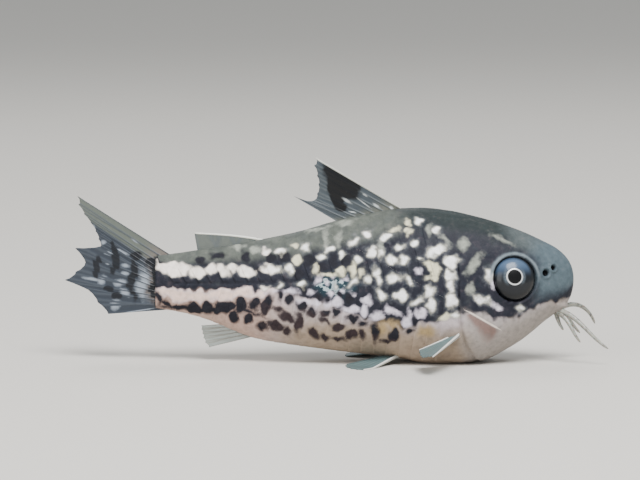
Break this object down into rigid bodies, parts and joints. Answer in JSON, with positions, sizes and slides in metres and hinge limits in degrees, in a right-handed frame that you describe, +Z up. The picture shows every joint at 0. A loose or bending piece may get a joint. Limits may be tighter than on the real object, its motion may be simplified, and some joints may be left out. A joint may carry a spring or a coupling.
{
  "type": "corydoras catfish",
  "caption": "Small spotted corydoras catfish at life size, at rest on its belly and pelvic fins, with bony plates along its sides, six barbels and a black blotch in its dorsal fin.",
  "frame": {"origin": "middle of the small flat of the belly that the fish rests on", "axes": "+X from the tail to the snout, +Y to the fish's left, +Z up"},
  "size_m": [0.057, 0.0266, 0.0214],
  "materials": {
    "skin": "wet gloss over dark olive, with cream spots and stripes",
    "eye": "wet black with a silver ring",
    "fin": "smoky, half clear membrane with pale rays",
    "barbel": "soft, pale and wet"
  },
  "bodies": {
    "root": {"head": "skin", "trunk": "skin", "tail": "skin", "eye_right": "eye", "eye_left": "eye", "dorsal_fin": "fin", "adipose_fin": "fin", "anal_fin": "fin", "tail_fin_upper": "fin", "tail_fin_lower": "fin", "pectoral_fin_right": "fin", "pectoral_fin_left": "fin", "pelvic_fin_right": "fin", "pelvic_fin_left": "fin", "long_barbel_right": "barbel", "long_barbel_left": "barbel", "short_barbel_right": "barbel", "short_barbel_left": "barbel", "chin_barbel_right": "barbel", "chin_barbel_left": "barbel"}
  },
  "joints": []
}
